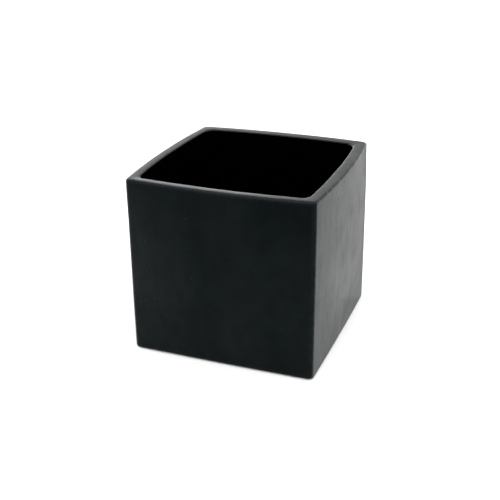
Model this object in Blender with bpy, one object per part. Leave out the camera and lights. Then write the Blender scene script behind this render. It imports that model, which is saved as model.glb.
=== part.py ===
"""Square candle jar: a slip-cast clay body, a matte glaze jacket outside and a gloss glaze liner inside.

Frame: origin at the centre of the foot, +Z up through the mouth, the four faces square to X and Y.
A profile is a list of (depth, z, corner): how far inside the finished outer face its outline lies,
at what height, and the plan radius of the outline's four corners.
"""

import math

import bmesh
import bpy

# Driving dimensions, in metres
HEIGHT = 0.0790
FOOT_HALF_WIDTH = 0.0410  # centre to face at a vertical edge, at the foot
MOUTH_HALF_WIDTH = 0.0404  # the same at the rim
FOOT_BOW = 0.0003  # how far the middle of a face stands out past its two edges, at the foot
MOUTH_BOW = 0.0022  # the same at the rim
BELLY = 0.0010  # extra bow halfway up
WALL = 0.0048
FLOOR = 0.0060  # finished cavity floor above the table
RIM_OUTER = 0.0015  # round on the outside of the rim
RIM_INNER = 0.0006  # round on the inside of the rim
BURIED_LIP = 0.0001  # the same round under a glaze, where it would otherwise come to a point
FLOOR_FILLET = 0.0050  # round between the cavity's walls and floor
HEEL = 0.0010  # round under the outside faces

# Plan radius of the corners, in metres
EDGE_CORNER = 0.0018  # vertical edges
HEEL_CORNER = 0.0022
RIM_CORNER = 0.0026
CAVITY_CORNER = 0.0050
FLOOR_CORNER = 0.0060
FOOT_CORNER = 0.0040

# Glaze layers and the bare foot, in metres
GLAZE = 0.0005
FIT_GAP = 0.0003  # kept between two pieces that touch on the real jar
GLAZE_LIFT = 0.0004  # the jacket clears the table by this much
FOOT_INSET = 0.0050  # outer face to the foot ring
FOOT_RING = 0.0050  # width of the flat ring that the jar stands on
RECESS_DEPTH = 0.0010
RECESS_SLOPE = 0.0008

CLAY_DEPTH = GLAZE + FIT_GAP  # the clay lies this far under a glazed surface

# Facets
SIDE_STEPS = 8
CORNER_STEPS = 4
ROUND_STEPS = 4
WALL_STEPS = 5

SMOOTH_ANGLE = 40  # degrees: sharper edges than this stay crisp

# name: (base colour, roughness)
FINISHES = {
    "bare_clay": ((0.30, 0.27, 0.24), 0.90),
    "matte_black_glaze": ((0.012, 0.014, 0.014), 0.45),
    "gloss_black_glaze": ((0.003, 0.003, 0.003), 0.08),
}


def spread(start, end, steps):
    """Values from start to end, both included, in equal steps."""
    return [start + (end - start) * i / steps for i in range(steps + 1)]


def face_arc(z):
    """Radius of the shallow arc that a face follows in plan at height z, and the arc's centre on the axis."""
    rise = z / HEIGHT
    half_width = FOOT_HALF_WIDTH + (MOUTH_HALF_WIDTH - FOOT_HALF_WIDTH) * rise
    bow = FOOT_BOW + (MOUTH_BOW - FOOT_BOW) * rise + 4 * BELLY * rise * (1 - rise)
    radius = (half_width**2 + bow**2) / (2 * bow)
    return radius, half_width + bow - radius


def plan_outline(depth, z, corner):
    """Points once round the jar at height z: four shallow arcs joined by four tangent corner rounds."""
    radius, centre = face_arc(z)
    radius -= depth
    hub = (centre + math.sqrt(2 * (radius - corner) ** 2 - centre**2)) / 2
    turn = math.atan2(hub, hub - centre)
    quarter = [
        (centre + radius * math.cos(a), radius * math.sin(a))
        for a in spread(-turn, turn, SIDE_STEPS)
    ]
    quarter += [
        (hub + corner * math.cos(a), hub + corner * math.sin(a))
        for a in spread(turn, math.pi / 2 - turn, CORNER_STEPS)[1:-1]
    ]
    points = []
    for _ in range(4):
        points += [(x, y, z) for x, y in quarter]
        quarter = [(-y, x) for x, y in quarter]
    return points


def round_profile(centre, radius, angles, corners):
    """Profile arc about (depth, z). At 0 degrees it faces out of the jar, at 90 up and at 180 inwards."""
    depth, z = centre
    turns = spread(math.radians(angles[0]), math.radians(angles[1]), ROUND_STEPS)
    return [
        (depth - radius * math.cos(a), z + radius * math.sin(a), corner)
        for a, corner in zip(turns, spread(*corners, ROUND_STEPS))
    ]


def wall_profile(depth, heights, corner):
    """Profile up or down a wall between two heights, without its two ends."""
    return [(depth, z, corner) for z in spread(*heights, WALL_STEPS)[1:-1]]


def outside_profile(under):
    """From the heel, up the outer face and over the rim to the lip, some way under the finished surface."""
    heel = (HEEL, GLAZE_LIFT + HEEL)
    outer_rim = (RIM_OUTER, HEIGHT - RIM_OUTER)
    lip = max(RIM_INNER - under, BURIED_LIP)
    inner_rim = (WALL - under - lip, HEIGHT - under - lip)
    edge = EDGE_CORNER - under
    return (
        round_profile(heel, HEEL - under, (-90, 0), (HEEL_CORNER - under, edge))
        + wall_profile(under, (heel[1], outer_rim[1]), edge)
        + round_profile(outer_rim, RIM_OUTER - under, (0, 90), (edge, RIM_CORNER))
        + round_profile(inner_rim, lip, (90, 180), (RIM_CORNER, CAVITY_CORNER + under))
    )


def cavity_profile(under, top):
    """From height top down the cavity wall and round onto its floor, some way under the finished surface."""
    fillet = (WALL + FLOOR_FILLET, FLOOR + FLOOR_FILLET)
    corner = CAVITY_CORNER + under
    return (
        [(WALL - under, top, corner)]
        + wall_profile(WALL - under, (top, fillet[1]), corner)
        + round_profile(fillet, FLOOR_FILLET + under, (0, -90), (corner, FLOOR_CORNER + under))
    )


def foot_profile():
    """From the middle of the underside outwards: the recess, the flat foot ring and its outer wall."""
    ring_inner = FOOT_INSET + FOOT_RING
    return [
        (ring_inner + RECESS_SLOPE, RECESS_DEPTH, FOOT_CORNER),
        (ring_inner, 0, FOOT_CORNER),
        (FOOT_INSET, 0, FOOT_CORNER),
        (FOOT_INSET, GLAZE_LIFT + CLAY_DEPTH, FOOT_CORNER),
    ]


def material(name):
    """A Principled material with one of the finishes."""
    colour, roughness = FINISHES[name]
    made = bpy.data.materials.new(name)
    made.use_nodes = True
    shader = made.node_tree.nodes["Principled BSDF"]
    shader.inputs["Base Color"].default_value = (*colour, 1)
    shader.inputs["Roughness"].default_value = roughness
    shader.inputs["Metallic"].default_value = 0
    return made


def carried_round(name, profile, finish, capped):
    """A solid swept by a profile round the jar. A capped one is closed across the axis at both ends."""
    mesh = bmesh.new()
    loops = [[mesh.verts.new(point) for point in plan_outline(*place)] for place in profile]
    pairs = list(zip(loops, loops[1:]))
    if capped:
        mesh.faces.new(loops[0])
        mesh.faces.new(loops[-1])
    else:
        pairs.append((loops[-1], loops[0]))
    for lower, upper in pairs:
        for i, vertex in enumerate(lower):
            mesh.faces.new((lower[i - 1], vertex, upper[i], upper[i - 1]))
    bmesh.ops.recalc_face_normals(mesh, faces=mesh.faces)
    data = bpy.data.meshes.new(name)
    mesh.to_mesh(data)
    mesh.free()
    data.shade_smooth()
    data.set_sharp_from_angle(angle=math.radians(SMOOTH_ANGLE))
    data.materials.append(material(finish))
    bpy.context.scene.collection.objects.link(bpy.data.objects.new(name, data))


def clay_body():
    """The casting: four walls, floor and foot in one piece, bare where it meets the table."""
    profile = foot_profile()
    profile += outside_profile(CLAY_DEPTH)
    profile += cavity_profile(CLAY_DEPTH, HEIGHT - RIM_INNER)[1:]
    carried_round("clay_body", profile, "bare_clay", capped=True)


def outer_glaze():
    """The matte jacket, from the foot ring round the heel, up the faces and over the rim to the inner lip."""
    edge = FOOT_INSET - FIT_GAP
    skin = [(edge, GLAZE_LIFT, FOOT_CORNER)] + outside_profile(0)
    back = [(edge, GLAZE_LIFT + GLAZE, FOOT_CORNER)] + outside_profile(GLAZE)
    carried_round("outer_matte_glaze", skin + back[::-1], "matte_black_glaze", capped=False)


def liner_glaze():
    """The gloss liner, from just under the lip down the cavity walls and across its floor."""
    top = HEIGHT - RIM_INNER - FIT_GAP
    skin = cavity_profile(0, top)
    back = cavity_profile(GLAZE, top)
    carried_round("inner_gloss_glaze", skin[::-1] + back, "gloss_black_glaze", capped=True)


def main():
    for old in list(bpy.data.objects):
        bpy.data.objects.remove(old)
    clay_body()
    outer_glaze()
    liner_glaze()


main()
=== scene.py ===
"""Looks for the square candle jar: finely meshed clay, matte glaze and gloss glaze on the CAD frame.

A profile is a list of (depth, z, corner): how far inside the finished outer face its outline lies,
at what height, and the plan radius of the outline's four corners. All sizes are in metres.
"""

import math
import random

import bmesh
import bpy
from mathutils import Matrix, Vector, noise


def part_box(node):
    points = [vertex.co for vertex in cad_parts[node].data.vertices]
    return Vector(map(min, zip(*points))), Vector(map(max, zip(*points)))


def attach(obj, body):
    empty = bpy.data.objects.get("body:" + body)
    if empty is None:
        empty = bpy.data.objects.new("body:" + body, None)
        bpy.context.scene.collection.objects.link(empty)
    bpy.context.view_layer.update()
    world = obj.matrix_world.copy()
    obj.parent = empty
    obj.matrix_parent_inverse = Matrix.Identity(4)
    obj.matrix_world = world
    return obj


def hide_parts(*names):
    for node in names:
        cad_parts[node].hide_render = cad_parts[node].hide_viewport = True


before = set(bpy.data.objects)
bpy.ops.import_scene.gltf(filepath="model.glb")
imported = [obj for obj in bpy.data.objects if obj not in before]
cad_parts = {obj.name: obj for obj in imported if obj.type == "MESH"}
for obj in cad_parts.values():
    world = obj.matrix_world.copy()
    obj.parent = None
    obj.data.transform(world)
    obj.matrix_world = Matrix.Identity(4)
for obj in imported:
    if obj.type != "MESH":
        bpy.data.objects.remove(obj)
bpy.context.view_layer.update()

JACKET_LOW, JACKET_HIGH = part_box("outer_matte_glaze")
CLAY_LOW, CLAY_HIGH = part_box("clay_body")
LINER_LOW, LINER_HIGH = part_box("inner_gloss_glaze")

# Sizes read off the frame
HEIGHT = JACKET_HIGH.z
HALF_WIDTH = JACKET_HIGH.x  # centre to face at the widest place, about two thirds of the way up
CLAY_DEPTH = JACKET_HIGH.x - CLAY_HIGH.x  # the clay lies this far under a glazed surface
GLAZE_LIFT = JACKET_LOW.z  # the jacket clears the table by this much
GLAZE = 0.0005
WALL = JACKET_HIGH.x - LINER_HIGH.x + GLAZE
FLOOR = LINER_LOW.z + GLAZE

# The plan outline: a face bows out from its vertical edges, most of all about three quarters up
FOOT_BOW = 0.0003
MOUTH_BOW = 0.0022
BELLY = 0.0010
FOOT_SET_IN = 0.00204  # the vertical edges lie this far inside the widest place, at the foot
MOUTH_SET_IN = 0.00264  # the same at the mouth
FOOT_HALF_WIDTH = HALF_WIDTH - FOOT_SET_IN
MOUTH_HALF_WIDTH = HALF_WIDTH - MOUTH_SET_IN

# Rounds in profile
RIM_OUTER = 0.0011
RIM_INNER = 0.0006
BURIED_LIP = 0.0001  # the inner round under a glaze, where it would otherwise come to a point
RIM_CREST = 0.0013  # the rim is highest this far in, and falls slightly from there on both sides
RIM_CROWN = 0.0300  # radius of that fall
FLOOR_FILLET = 0.0050
HEEL = 0.0010

# Plan radius of the corners
EDGE_CORNER = 0.0018
HEEL_CORNER = 0.0022
RIM_CORNER = 0.0026
CAVITY_CORNER = 0.0050
FLOOR_CORNER = 0.0060
FOOT_CORNER = 0.0040

# The casting is not quite even: the cavity sits to one side, wanders, and turns its corners differently
CAVITY_SHIFT = Vector((-0.00035, -0.00050, 0))
CAVITY_WANDER = 0.0004
CAVITY_WANDER_SIZE = 0.022
CAVITY_SEEDS = (6.5, 12.5)  # for the wander along x and along y
CAVITY_CORNER_SHARES = (1.2, 1.0, 0.9, 1.2)  # of the plan radius, from the back right corner anticlockwise

# The jar has warped a little in firing: one corner of the foot and one of the mouth have moved
FRONT_RIGHT_FOOT_PULL = Vector((-0.0006, 0.00045, 0))
BACK_RIGHT_MOUTH_PULL = Vector((-0.0004, 0, 0))
MOUTH_LEAN = Vector((0, -0.00015, 0))
MOUTH_SPREAD = 0.00015  # the front and back of the mouth have also moved apart by this much each
MOUTH_PULL_START = 0.72  # share of the height

# The foot
FOOT_INSET = 0.0050
FOOT_RING = 0.0050
RECESS_DEPTH = 0.0010
RECESS_SLOPE = 0.0008
FOOT_EASE = 0.0003  # round on the edges of the foot ring
EDGE_GAP = 0.0001  # between the edges of two glazes, and between a glaze's edge and bare clay

# Hollows left by hand finishing, as (size across, depth, seed)
FACE_HOLLOWS = ((0.030, 0.00006, 3), (0.009, 0.00002, 5))
RIM_HOLLOWS = ((0.007, 0.00005, 9), (0.0025, 0.00002, 13))
LINER_HOLLOWS = ((0.018, 0.00015, 17), (0.006, 0.00004, 19))
CLAY_HOLLOWS = ((0.004, 0.00006, 23),)
RIM_HOLLOWS_START = 0.006  # below the top, where the rim's own hollows fade in
RIM_HOLLOWS_FULL = 0.001

# Pinholes in the matte glaze, sized by the side of the mesh face that each is sunk into
PINHOLES = 50
PINHOLE_SEED = 31
PINHOLE_MARGIN = (0.25, 0.32)  # least and most that is left round a hole
PINHOLE_WALL = 0.08
PINHOLE_DROP = 0.05
PINHOLE_POINT = 0.03
PINHOLE_TILT = 0.05  # z of the normal: a mesh face with a hole in it is this near to upright
PINHOLE_DEPTH_LIMIT = 0.0003  # and its middle is not this far inside the vertical edges at the foot

# Facets
SIDE_STEPS = 56
CORNER_STEPS = 12
ROUND_STEPS = 10
WALL_STEPS = 60
LAND_STEPS = 16
FOOT_LAND_STEPS = 8
FOOT_ROUND_STEPS = 4
DISC_STEPS = 24
HIDDEN_STEPS = (5, 6)  # in a round and up a wall, on surfaces that lie between two pieces
SHARP_ANGLE = math.radians(50)  # edges bent further than this stay crisp

# Matte glaze: sizes across in metres, colours, roughness, and the specular levels that make its sheen
MATTE_CLOUD = 0.016
MATTE_RUN = 0.006
MATTE_STREAK = 0.0016
MATTE_PEEL = 0.0014
MATTE_GRAIN = 0.00022
MATTE_PINPRICK = 0.0009
MATTE_THIN_SPOT = 0.0011
MATTE_BROAD_SHEEN = 0.030
MATTE_FINE_SHEEN = 0.0045
MATTE_COOL = (0.0000, 0.0014, 0.0016)
MATTE_WARM = (0.0005, 0.0012, 0.0014)
# painted shade: the darker colour inside the pinprick pits
MATTE_PIT_SHADE = (0.0002, 0.0002, 0.0002)
MATTE_EDGE = (0.0150, 0.0170, 0.0200)
MATTE_TINT = (0.93, 1.00, 0.99, 1)
MATTE_WEAR = (0.15, 0.65)  # how far edges take on their worn colour, below the rim and on it
MATTE_ROUGH = 0.36
MATTE_ROUGH_CLOUDS = 0.03
MATTE_ROUGH_STREAKS = 0.015
MATTE_EDGE_POLISH = 0.06  # edges are worn this much smoother
MATTE_THIN = 0.45  # share of its sheen that the glaze loses in spots where it has drawn back from an edge
MATTE_UPPER = (0.030, 0.002)  # from here to here below the top, the faces lose some of their sheen
MATTE_UPPER_LOSS = 0.14
MATTE_CREST = (0.0010, 0.0002)  # from here to here below the top, the rim gets some of it back
MATTE_CREST_GAIN = 0.10
MATTE_RIM = (0.0012, 0.0003)  # from here to here below the top, the wear of the rim sets in
MATTE_SPECULAR_HEAD_ON = 0.051
MATTE_SPECULAR_GLANCING = 0.236
MATTE_RUN_HEIGHT = 0.000080
MATTE_STREAK_HEIGHT = 0.0000035
MATTE_PEEL_HEIGHT = 0.000010
MATTE_GRAIN_HEIGHT = 0.000003
MATTE_PRICK_DEPTH = 0.000030

# Gloss glaze
GLOSS_CLOUD = 0.012
GLOSS_RIPPLE = 0.0045
GLOSS_BUBBLE = 0.0008
GLOSS_DARK = (0.0001, 0.0001, 0.0002)
GLOSS_PALE = (0.0004, 0.0004, 0.0004)
GLOSS_ROUGH = (0.05, 0.10)
GLOSS_SPECULAR = 0.3
GLOSS_RIPPLE_HEIGHT = 0.000040
GLOSS_BUBBLE_DEPTH = 0.000012

# Bare clay
CLAY_CLOUD = 0.014
CLAY_SPECK = 0.0008
CLAY_SAND = 0.0003
CLAY_WIPE = 0.003
CLAY_DARK = (0.33, 0.29, 0.25)
CLAY_PALE = (0.42, 0.37, 0.32)
CLAY_GRIT = (0.25, 0.21, 0.18)
CLAY_GROG = (0.07, 0.055, 0.045)
CLAY_ROUGH = (0.80, 0.95)
CLAY_SPECULAR = 0.3
CLAY_BUMP = 0.000030

# The floor
FLOOR_RADIUS = 4.0
FLOOR_SIDES = 96
FLOOR_WHITE = (0.86, 0.86, 0.86, 1)
FLOOR_ROUGH = 0.9

# Studio surround: radiance all round, then areas as (change, azimuth, elevation, reach), angles in degrees
SURROUND = 1.82
SURROUND_LEAST = 1.0
SURROUND_AREAS = (
    (-1.60, 200, 30, 33),
    (4.00, 210, 0, 19),
    (2.49, 8, 45, 35),
    (-0.97, 304, 27, 51),
    (1.90, 244, 20, 21),
    (-0.90, 156, 18, 26),
)

# Camera, with angles in degrees
CAMERA_AIM = Vector((-0.00670, 0.01204, 0.02995))
CAMERA_AZIMUTH = 21.13
CAMERA_ELEVATION = 24.36
CAMERA_ROLL = -0.66
CAMERA_DISTANCE = 0.3994
SENSOR = 36.0
LENS = 61.56


def spread(start, end, steps):
    """Values from start to end, both included, in equal steps."""
    return [start + (end - start) * i / steps for i in range(steps + 1)]


def smoothstep(low, high, value):
    """0 below low, 1 above high, with a smooth rise between them."""
    t = min(1, max(0, (value - low) / (high - low)))
    return t * t * (3 - 2 * t)


# ---------------------------------------------------------------- shape


def face_arc(z):
    """Radius of the shallow arc that a face follows in plan at height z, and its centre along the axis."""
    rise = z / HEIGHT
    half_width = FOOT_HALF_WIDTH + (MOUTH_HALF_WIDTH - FOOT_HALF_WIDTH) * rise
    bow = FOOT_BOW + (MOUTH_BOW - FOOT_BOW) * rise + 4 * BELLY * rise * (1 - rise)
    radius = (half_width**2 + bow**2) / (2 * bow)
    return radius, half_width + bow - radius


def corner_hub(radius, centre, corner):
    """Distance along x and along y to the middle of a corner round that touches two neighbouring faces."""
    return (centre + math.sqrt(2 * (radius - corner) ** 2 - centre**2)) / 2


def cavity_drift(point):
    """How far the cavity's surface lies from its even place, level with the table."""
    place = point / CAVITY_WANDER_SIZE
    wander = [noise.noise(place + Vector((0, 0, seed))) for seed in CAVITY_SEEDS]
    return CAVITY_SHIFT + CAVITY_WANDER * Vector((*wander, 0))


def warp(point):
    """How far the warped jar has moved here from its even place, level with the table."""
    right = (1 + point.x / FOOT_HALF_WIDTH) / 2
    front = (1 - point.y / FOOT_HALF_WIDTH) / 2
    rise = point.z / HEIGHT
    mouth = smoothstep(MOUTH_PULL_START, 1, rise)
    return (
        right * front * (1 - rise) * FRONT_RIGHT_FOOT_PULL
        + right * (1 - front) * mouth * BACK_RIGHT_MOUTH_PULL
        + mouth * (MOUTH_LEAN + Vector((0, MOUTH_SPREAD * point.y / MOUTH_HALF_WIDTH, 0)))
    )


def plan_outline(depth, z, corner):
    """Points once round the jar at height z: four shallow arcs joined by four tangent corner rounds."""
    radius, centre = face_arc(z)
    radius -= depth
    inwards = smoothstep(RIM_OUTER, WALL, depth)
    rounds = [corner * (1 + inwards * (share - 1)) for share in CAVITY_CORNER_SHARES]
    points = []
    for side in range(4):
        before, after = (corner_hub(radius, centre, rounds[i]) for i in (side - 1, side))
        start = -math.atan2(before, before - centre)
        end = math.atan2(after, after - centre)
        quarter = [
            (centre + radius * math.cos(a), radius * math.sin(a)) for a in spread(start, end, SIDE_STEPS)
        ]
        quarter += [
            (after + rounds[side] * math.cos(a), after + rounds[side] * math.sin(a))
            for a in spread(end, math.pi / 2 - end, CORNER_STEPS)[1:-1]
        ]
        turn = Matrix.Rotation(side * math.pi / 2, 3, "Z")
        points += [turn @ Vector((x, y, z)) for x, y in quarter]
    return [point + inwards * cavity_drift(point) + warp(point) for point in points]


def round_profile(centre, radius, angles, corners, steps=ROUND_STEPS):
    """Profile arc about (depth, z). At 0 degrees it faces out of the jar, at 90 up and at 180 inwards."""
    depth, z = centre
    turns = spread(math.radians(angles[0]), math.radians(angles[1]), steps)
    return [
        (depth - radius * math.cos(a), z + radius * math.sin(a), corner)
        for a, corner in zip(turns, spread(*corners, steps))
    ]


def wall_profile(depth, heights, corner, steps=WALL_STEPS):
    """Profile up or down a wall between two heights, without its two ends."""
    return [(depth, z, corner) for z in spread(*heights, steps)[1:-1]]


def land_profile(depths, z, corner, steps):
    """Profile across a level strip between two depths, without its two ends."""
    return [(depth, z, corner) for depth in spread(*depths, steps)[1:-1]]


def crowned(profile, under):
    """Lowers a rim profile on both sides of its crest, so that the land is a slight crown."""
    points = []
    for depth, z, corner in profile:
        share = smoothstep(RIM_OUTER, 0, HEIGHT - under - z)
        points.append((depth, z - share * (depth - RIM_CREST) ** 2 / (2 * RIM_CROWN), corner))
    return points


def outside_profile(under, steps=ROUND_STEPS, wall_steps=WALL_STEPS):
    """From the heel, up the outer face and over the rim to the lip, some way under the finished surface."""
    heel = (HEEL, GLAZE_LIFT + HEEL)
    outer_rim = (RIM_OUTER, HEIGHT - RIM_OUTER)
    lip = max(RIM_INNER - under, BURIED_LIP)
    inner_rim = (WALL - under - lip, HEIGHT - under - lip)
    edge = EDGE_CORNER - under
    rim = (
        round_profile(outer_rim, RIM_OUTER - under, (0, 90), (edge, RIM_CORNER), steps)
        + land_profile((outer_rim[0], inner_rim[0]), HEIGHT - under, RIM_CORNER, LAND_STEPS)
        + round_profile(inner_rim, lip, (90, 180), (RIM_CORNER, CAVITY_CORNER + under), steps)
    )
    return (
        round_profile(heel, HEEL - under, (-90, 0), (HEEL_CORNER - under, edge), steps)
        + wall_profile(under, (heel[1], outer_rim[1]), edge, wall_steps)
        + crowned(rim, under)
    )


def cavity_profile(under, top, steps=ROUND_STEPS, wall_steps=WALL_STEPS):
    """From height top down the cavity wall and round onto its floor, some way under the finished surface."""
    fillet = (WALL + FLOOR_FILLET, FLOOR + FLOOR_FILLET)
    corner = CAVITY_CORNER + under
    return (
        [(WALL - under, top, corner)]
        + wall_profile(WALL - under, (top, fillet[1]), corner, wall_steps)
        + round_profile(fillet, FLOOR_FILLET + under, (0, -90), (corner, FLOOR_CORNER + under), steps)
    )


def foot_profile():
    """From the recess outwards over the foot ring, whose edges are eased, and up its outer wall."""
    ring_inner = FOOT_INSET + FOOT_RING
    outer_ease = (FOOT_INSET + FOOT_EASE, FOOT_EASE)
    inner_ease = (ring_inner - FOOT_EASE, FOOT_EASE)
    corners = (FOOT_CORNER, FOOT_CORNER)
    return (
        [(ring_inner + RECESS_SLOPE, RECESS_DEPTH, FOOT_CORNER)]
        + [(ring_inner + RECESS_SLOPE / 4, RECESS_DEPTH / 2, FOOT_CORNER)]
        + round_profile(inner_ease, FOOT_EASE, (-135, -90), corners, FOOT_ROUND_STEPS - 1)
        + land_profile((inner_ease[0], outer_ease[0]), 0, FOOT_CORNER, FOOT_LAND_STEPS)
        + round_profile(outer_ease, FOOT_EASE, (-90, 0), corners, FOOT_ROUND_STEPS)
        + [(FOOT_INSET, GLAZE_LIFT + CLAY_DEPTH, FOOT_CORNER)]
    )


def add_loop(mesh, points):
    return [mesh.verts.new(point) for point in points]


def join_loops(mesh, loops):
    for lower, upper in zip(loops, loops[1:]):
        for i, vertex in enumerate(lower):
            mesh.faces.new((lower[i - 1], vertex, upper[i], upper[i - 1]))


def close_with_disc(mesh, loop):
    """Closes a loop with rings that shrink to the axis."""
    middle = Vector((0, 0, loop[0].co.z))
    rings = [loop]
    for share in spread(1, 0, DISC_STEPS)[1:-1]:
        rings.append(add_loop(mesh, [middle + (v.co - middle) * share for v in loop]))
    join_loops(mesh, rings)
    centre = mesh.verts.new(middle)
    for i, vertex in enumerate(rings[-1]):
        mesh.faces.new((rings[-1][i - 1], vertex, centre))


def carried_round(profile, capped):
    """A closed bmesh swept by a profile round the jar. A capped one is closed at both ends."""
    mesh = bmesh.new()
    loops = [add_loop(mesh, plan_outline(*place)) for place in profile]
    if capped:
        close_with_disc(mesh, loops[0])
        close_with_disc(mesh, loops[-1])
    else:
        loops.append(loops[0])
    join_loops(mesh, loops)
    bmesh.ops.recalc_face_normals(mesh, faces=mesh.faces)
    mesh.normal_update()
    return mesh


def dent(point, size, depth, seed):
    """A depth from 0 to the given one, from noise whose swells are about size across."""
    swell = noise.noise(point / size + Vector((seed, 0, 0)))
    return depth * min(1, max(0, 0.5 + 0.7 * swell))


def press_in(mesh, rule):
    """Moves each vertex inwards along its normal by rule(point)."""
    moves = [(vertex, vertex.normal * rule(vertex.co)) for vertex in mesh.verts]
    for vertex, move in moves:
        vertex.co -= move
    mesh.normal_update()


def hollows(point, layers, share=1):
    """The depths of several layers of hollows, each taken at a share of its full depth."""
    return [share * dent(point, *layer) for layer in layers]


def outer_unevenness(point):
    """How far hand finishing has left the outside below its full size, most of all along the rim."""
    rim = smoothstep(HEIGHT - RIM_HOLLOWS_START, HEIGHT - RIM_HOLLOWS_FULL, point.z)
    return sum(hollows(point, FACE_HOLLOWS) + hollows(point, RIM_HOLLOWS, rim))


def inner_unevenness(point):
    """The liner pools and thins a little more freely than the jacket."""
    return sum(hollows(point, LINER_HOLLOWS))


def clay_unevenness(point):
    """Sponge marks and grog in the bare clay, flat where the jar stands."""
    bare = 1 - smoothstep(GLAZE_LIFT, GLAZE_LIFT + CLAY_DEPTH, point.z)
    standing = 1 - smoothstep(0, FOOT_EASE / 2, point.z)
    return sum(hollows(point, CLAY_HOLLOWS, bare * (1 - standing)))


def takes_pinhole(face):
    """Whether a mesh face lies on one of the jar's four outer faces and looks outwards."""
    middle = face.calc_center_median()
    return (
        abs(face.normal.z) < PINHOLE_TILT
        and middle.z > HEEL
        and max(abs(middle.x), abs(middle.y)) > FOOT_HALF_WIDTH - PINHOLE_DEPTH_LIMIT
        and middle.xy.dot(face.normal.xy) > 0
    )


def pock(mesh):
    """Sinks small pinholes into randomly chosen faces."""
    rng = random.Random(PINHOLE_SEED)
    mesh.faces.index_update()
    faces = sorted((f for f in mesh.faces if takes_pinhole(f)), key=lambda f: f.index)
    for face in rng.sample(faces, PINHOLES):
        side = math.sqrt(face.calc_area())
        bmesh.ops.inset_individual(mesh, faces=[face], thickness=side * rng.uniform(*PINHOLE_MARGIN))
        bmesh.ops.inset_individual(
            mesh, faces=[face], thickness=side * PINHOLE_WALL, depth=-side * PINHOLE_DROP
        )
        bmesh.ops.poke(mesh, faces=[face], offset=-side * PINHOLE_POINT)
    mesh.normal_update()


def mark_edges(mesh):
    """Gives each vertex an attribute that is 1 on the sharpest rounds and 0 where the surface is flat."""
    layer = mesh.verts.layers.float.new("edge")
    for vertex in mesh.verts:
        bends = [
            vertex.normal.angle(edge.other_vert(vertex).normal, 0) / max(edge.calc_length(), 1e-6)
            for edge in vertex.link_edges
        ]
        vertex[layer] = min(1, max(bends) * EDGE_CORNER)


def finish_piece(mesh, name, node, material):
    """Makes the piece that stands for a CAD node."""
    data = bpy.data.meshes.new(name)
    mesh.to_mesh(data)
    mesh.free()
    data.shade_smooth()
    data.set_sharp_from_angle(angle=SHARP_ANGLE)
    data.materials.append(material)
    piece = bpy.data.objects.new(name, data)
    bpy.context.scene.collection.objects.link(piece)
    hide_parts(node)
    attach(piece, "root")
    return piece


def make_clay(material):
    profile = foot_profile()
    profile += outside_profile(CLAY_DEPTH, *HIDDEN_STEPS)
    profile += cavity_profile(CLAY_DEPTH, HEIGHT - RIM_INNER, *HIDDEN_STEPS)[1:]
    mesh = carried_round(profile, capped=True)
    press_in(mesh, clay_unevenness)
    finish_piece(mesh, "clay_casting", "clay_body", material)


def make_jacket(material):
    edge = FOOT_INSET - EDGE_GAP
    skin = [(edge, GLAZE_LIFT, FOOT_CORNER)] + outside_profile(0)
    back = [(edge, GLAZE_LIFT + GLAZE, FOOT_CORNER)] + outside_profile(GLAZE, *HIDDEN_STEPS)
    mesh = carried_round(skin + back[::-1], capped=False)
    press_in(mesh, outer_unevenness)
    mark_edges(mesh)
    pock(mesh)
    finish_piece(mesh, "matte_glaze_jacket", "outer_matte_glaze", material)


def make_liner(material):
    top = HEIGHT - RIM_INNER - EDGE_GAP
    skin = cavity_profile(0, top)
    back = cavity_profile(GLAZE, top, *HIDDEN_STEPS)
    mesh = carried_round(skin[::-1] + back, capped=True)
    press_in(mesh, inner_unevenness)
    finish_piece(mesh, "gloss_glaze_liner", "inner_gloss_glaze", material)


# ---------------------------------------------------------------- materials


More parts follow.
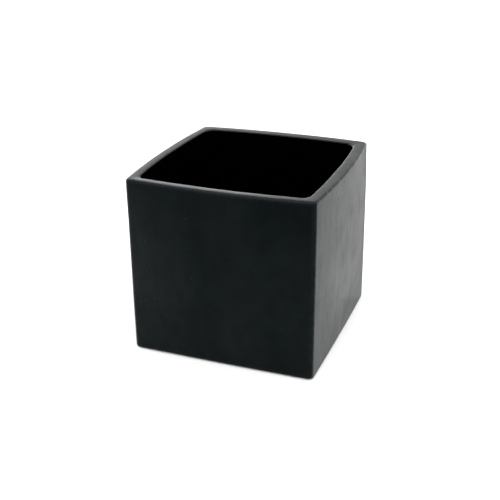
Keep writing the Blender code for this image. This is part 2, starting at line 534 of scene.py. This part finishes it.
class Nodes:
    """Short calls that add and link the nodes of a material or of the world."""

    def __init__(self, tree, coordinates):
        self.tree = tree
        self.place = tree.nodes.new("ShaderNodeTexCoord").outputs[coordinates]

    def link(self, value, socket):
        """Joins another node's output to a socket, or sets the socket to a plain value."""
        if isinstance(value, bpy.types.NodeSocket):
            self.tree.links.new(value, socket)
        else:
            socket.default_value = value

    def math(self, operation, a, b):
        node = self.tree.nodes.new("ShaderNodeMath")
        node.operation = operation
        self.link(a, node.inputs[0])
        self.link(b, node.inputs[1])
        return node.outputs[0]

    def dot(self, vector):
        """The coordinates' share along a unit vector."""
        node = self.tree.nodes.new("ShaderNodeVectorMath")
        node.operation = "DOT_PRODUCT"
        self.link(self.place, node.inputs[0])
        self.link(vector, node.inputs[1])
        return node.outputs["Value"]

    def noise(self, size, detail=2, stretch=(1, 1, 1)):
        """Noise whose cells are about size metres across, made longer along an axis by stretch."""
        mapping = self.tree.nodes.new("ShaderNodeMapping")
        mapping.inputs["Scale"].default_value = [1 / (size * s) for s in stretch]
        self.link(self.place, mapping.inputs["Vector"])
        node = self.tree.nodes.new("ShaderNodeTexNoise")
        node.inputs["Scale"].default_value = 1
        node.inputs["Detail"].default_value = detail
        self.link(mapping.outputs[0], node.inputs["Vector"])
        return node.outputs["Fac"]

    def remap(self, value, low, high, to_low=0, to_high=1):
        """Turns low to high into to_low to to_high, smoothly, and holds it there past both ends."""
        node = self.tree.nodes.new("ShaderNodeMapRange")
        node.interpolation_type = "SMOOTHSTEP"
        self.link(value, node.inputs["Value"])
        node.inputs["From Min"].default_value = low
        node.inputs["From Max"].default_value = high
        node.inputs["To Min"].default_value = to_low
        node.inputs["To Max"].default_value = to_high
        return node.outputs[0]

    def mix(self, factor, a, b):
        """A colour between a and b, each an RGB tuple or another node's output."""
        node = self.tree.nodes.new("ShaderNodeMix")
        node.data_type = "RGBA"
        self.link(factor, node.inputs["Factor"])
        for name, value in (("A", a), ("B", b)):
            socket = next(s for s in node.inputs if s.name == name and s.type == "RGBA")
            self.link((*value, 1) if isinstance(value, tuple) else value, socket)
        return next(s for s in node.outputs if s.type == "RGBA")

    def attribute(self, name):
        node = self.tree.nodes.new("ShaderNodeAttribute")
        node.attribute_name = name
        return node.outputs["Fac"]

    def rise(self, start, end, to_low=0, to_high=1):
        """Goes from to_low to to_high between two depths below the top of the jar."""
        node = self.tree.nodes.new("ShaderNodeSeparateXYZ")
        self.link(self.place, node.inputs[0])
        return self.remap(node.outputs["Z"], HEIGHT - start, HEIGHT - end, to_low, to_high)

    def facing(self):
        """0 where the surface is seen head-on, 1 where it is seen edge-on."""
        return self.tree.nodes.new("ShaderNodeLayerWeight").outputs["Facing"]


class MaterialNodes(Nodes):
    """The nodes of one new material, which all lead to its Principled shader."""

    def __init__(self, name):
        self.material = bpy.data.materials.new(name)
        self.material.use_nodes = True
        super().__init__(self.material.node_tree, "Object")
        self.shader = self.tree.nodes["Principled BSDF"]

    def set(self, socket, value):
        self.link(value, self.shader.inputs[socket])

    def bump(self, layers):
        """Stacks bumps given as (height, distance in metres)."""
        normal = None
        for height, distance in layers:
            node = self.tree.nodes.new("ShaderNodeBump")
            node.inputs["Strength"].default_value = 1
            node.inputs["Distance"].default_value = distance
            self.link(height, node.inputs["Height"])
            if normal is not None:
                self.link(normal, node.inputs["Normal"])
            normal = node.outputs[0]
        self.set("Normal", normal)


def matte_sheen(n, edge):
    """Specular level of the matte glaze: faint head-on, stronger at a slant, gone where seen edge-on."""
    facing = n.facing()
    thin = n.remap(n.noise(MATTE_THIN_SPOT), 0.42, 0.62, to_high=MATTE_THIN)
    upper = n.rise(*MATTE_UPPER, to_high=MATTE_UPPER_LOSS)
    crest = n.rise(*MATTE_CREST, to_high=MATTE_CREST_GAIN)
    shares = (
        n.math("SUBTRACT", 1, n.math("MULTIPLY", edge, thin)),
        n.remap(n.noise(MATTE_BROAD_SHEEN, 2, (1, 1, 1.5)), 0.32, 0.68, 0.90, 1.32),
        n.remap(n.noise(MATTE_FINE_SHEEN, 3, (1, 1, 1.6)), 0.30, 0.70, 0.90, 1.10),
        n.math("ADD", n.math("SUBTRACT", 1, upper), crest),
        n.remap(facing, 0.68, 0.97, 1, 0),
    )
    sheen = n.remap(facing, 0.15, 0.60, MATTE_SPECULAR_HEAD_ON, MATTE_SPECULAR_GLANCING)
    for share in shares:
        sheen = n.math("MULTIPLY", sheen, share)
    return sheen


def matte_glaze():
    """Black glaze with a dry satin face: clouded colour, run streaks, fine peel, and pinpricks whose darker
    colour is painted shade.
    """
    n = MaterialNodes("matte_black_glaze")
    clouds = n.noise(MATTE_CLOUD, 4)
    runs = n.noise(MATTE_RUN, 2, (1, 1, 7))
    streaks = n.noise(MATTE_STREAK, 3, (1, 1, 9))
    peel = n.noise(MATTE_PEEL)
    grain = n.noise(MATTE_GRAIN)
    prick = n.remap(n.noise(MATTE_PINPRICK, 1), 0.72, 0.80)
    edge = n.remap(n.attribute("edge"), 0.4, 1.0)

    body = n.mix(n.remap(clouds, 0.35, 0.65), MATTE_COOL, MATTE_WARM)
    # the pinprick pits are dented by a bump, and their darker colour is painted shade
    pit_shaded_body = n.mix(prick, body, MATTE_PIT_SHADE)
    rim = n.rise(*MATTE_RIM, *MATTE_WEAR)
    n.set("Base Color", n.mix(n.math("MULTIPLY", edge, rim), pit_shaded_body, MATTE_EDGE))

    clouded = n.remap(clouds, 0.3, 0.7, MATTE_ROUGH - MATTE_ROUGH_CLOUDS, MATTE_ROUGH + MATTE_ROUGH_CLOUDS)
    streaked = n.remap(streaks, 0.3, 0.7, -MATTE_ROUGH_STREAKS, MATTE_ROUGH_STREAKS)
    polish = n.math("MULTIPLY", edge, MATTE_EDGE_POLISH)
    n.set("Roughness", n.math("SUBTRACT", n.math("ADD", clouded, streaked), polish))

    n.set("Specular Tint", MATTE_TINT)
    n.set("Specular IOR Level", matte_sheen(n, edge))
    n.bump(
        [
            (runs, MATTE_RUN_HEIGHT),
            (streaks, MATTE_STREAK_HEIGHT),
            (peel, MATTE_PEEL_HEIGHT),
            (grain, MATTE_GRAIN_HEIGHT),
            (prick, -MATTE_PRICK_DEPTH),
        ]
    )
    return n.material


def gloss_glaze():
    """Wet-looking black liner with slow ripples and a few trapped bubbles."""
    n = MaterialNodes("gloss_black_glaze")
    clouds = n.noise(GLOSS_CLOUD, 3)
    ripple = n.noise(GLOSS_RIPPLE, 1)
    bubble = n.remap(n.noise(GLOSS_BUBBLE, 0), 0.78, 0.84)
    n.set("Base Color", n.mix(clouds, GLOSS_DARK, GLOSS_PALE))
    n.set("Roughness", n.remap(clouds, 0.3, 0.7, *GLOSS_ROUGH))
    n.set("Specular IOR Level", GLOSS_SPECULAR)
    n.bump([(ripple, GLOSS_RIPPLE_HEIGHT), (bubble, -GLOSS_BUBBLE_DEPTH)])
    return n.material


def bare_clay():
    """Fired stoneware: buff, speckled with dark grog, dry and sandy."""
    n = MaterialNodes("bare_stoneware")
    clouds = n.noise(CLAY_CLOUD, 4)
    speck = n.remap(n.noise(CLAY_SPECK, 1), 0.66, 0.72)
    sand = n.noise(CLAY_SAND, 3)
    wipe = n.noise(CLAY_WIPE, 2, (5, 1, 1))
    sanded = n.mix(n.remap(sand, 0.45, 0.75), n.mix(clouds, CLAY_DARK, CLAY_PALE), CLAY_GRIT)
    n.set("Base Color", n.mix(speck, sanded, CLAY_GROG))
    n.set("Roughness", n.remap(wipe, 0.3, 0.7, *CLAY_ROUGH))
    n.set("Specular IOR Level", CLAY_SPECULAR)
    n.bump([(wipe, CLAY_BUMP), (sand, CLAY_BUMP), (speck, -CLAY_BUMP)])
    return n.material


def floor_paper():
    """Plain white paper with no shine."""
    n = MaterialNodes("white_paper")
    n.set("Base Color", FLOOR_WHITE)
    n.set("Roughness", FLOOR_ROUGH)
    n.set("Specular IOR Level", 0.0)
    return n.material


# ---------------------------------------------------------------- studio


def toward(azimuth, elevation):
    """Unit vector from the jar, angles in degrees. Azimuth 0 is in front of the jar and 90 to its right."""
    az, el = math.radians(azimuth), math.radians(elevation)
    return Vector((math.sin(az) * math.cos(el), -math.cos(az) * math.cos(el), math.sin(el)))


def make_floor():
    data = bpy.data.meshes.new("floor")
    mesh = bmesh.new()
    bmesh.ops.create_circle(mesh, cap_ends=True, segments=FLOOR_SIDES, radius=FLOOR_RADIUS)
    mesh.to_mesh(data)
    mesh.free()
    data.materials.append(floor_paper())
    floor = bpy.data.objects.new("floor", data)
    bpy.context.scene.collection.objects.link(floor)


def make_world():
    """An almost even white surround, with a few broad soft areas that are brighter or dimmer."""
    world = bpy.data.worlds.new("studio")
    world.use_nodes = True
    n = Nodes(world.node_tree, "Generated")
    radiance = SURROUND
    for change, azimuth, elevation, reach in SURROUND_AREAS:
        area = n.remap(n.dot(toward(azimuth, elevation)), math.cos(math.radians(reach)), 1, to_high=change)
        radiance = n.math("ADD", area, radiance)
    background = n.tree.nodes["Background"]
    n.link((1, 1, 1, 1), background.inputs["Color"])
    n.link(n.math("MAXIMUM", radiance, SURROUND_LEAST), background.inputs["Strength"])
    bpy.context.scene.world = world


def make_camera():
    back = toward(CAMERA_AZIMUTH, CAMERA_ELEVATION)
    right = Vector((0, 0, 1)).cross(back).normalized()
    level = Matrix((right, back.cross(right), back)).transposed()
    rolled = level @ Matrix.Rotation(math.radians(CAMERA_ROLL), 3, "Z")
    data = bpy.data.cameras.new("camera")
    data.sensor_width = SENSOR
    data.lens = LENS
    camera = bpy.data.objects.new("camera", data)
    camera.matrix_world = Matrix.Translation(CAMERA_AIM + back * CAMERA_DISTANCE) @ rolled.to_4x4()
    bpy.context.scene.collection.objects.link(camera)
    bpy.context.scene.camera = camera


def main():
    make_clay(bare_clay())
    make_jacket(matte_glaze())
    make_liner(gloss_glaze())
    make_floor()
    make_world()
    make_camera()
    bpy.context.scene.view_settings.view_transform = "Standard"


main()
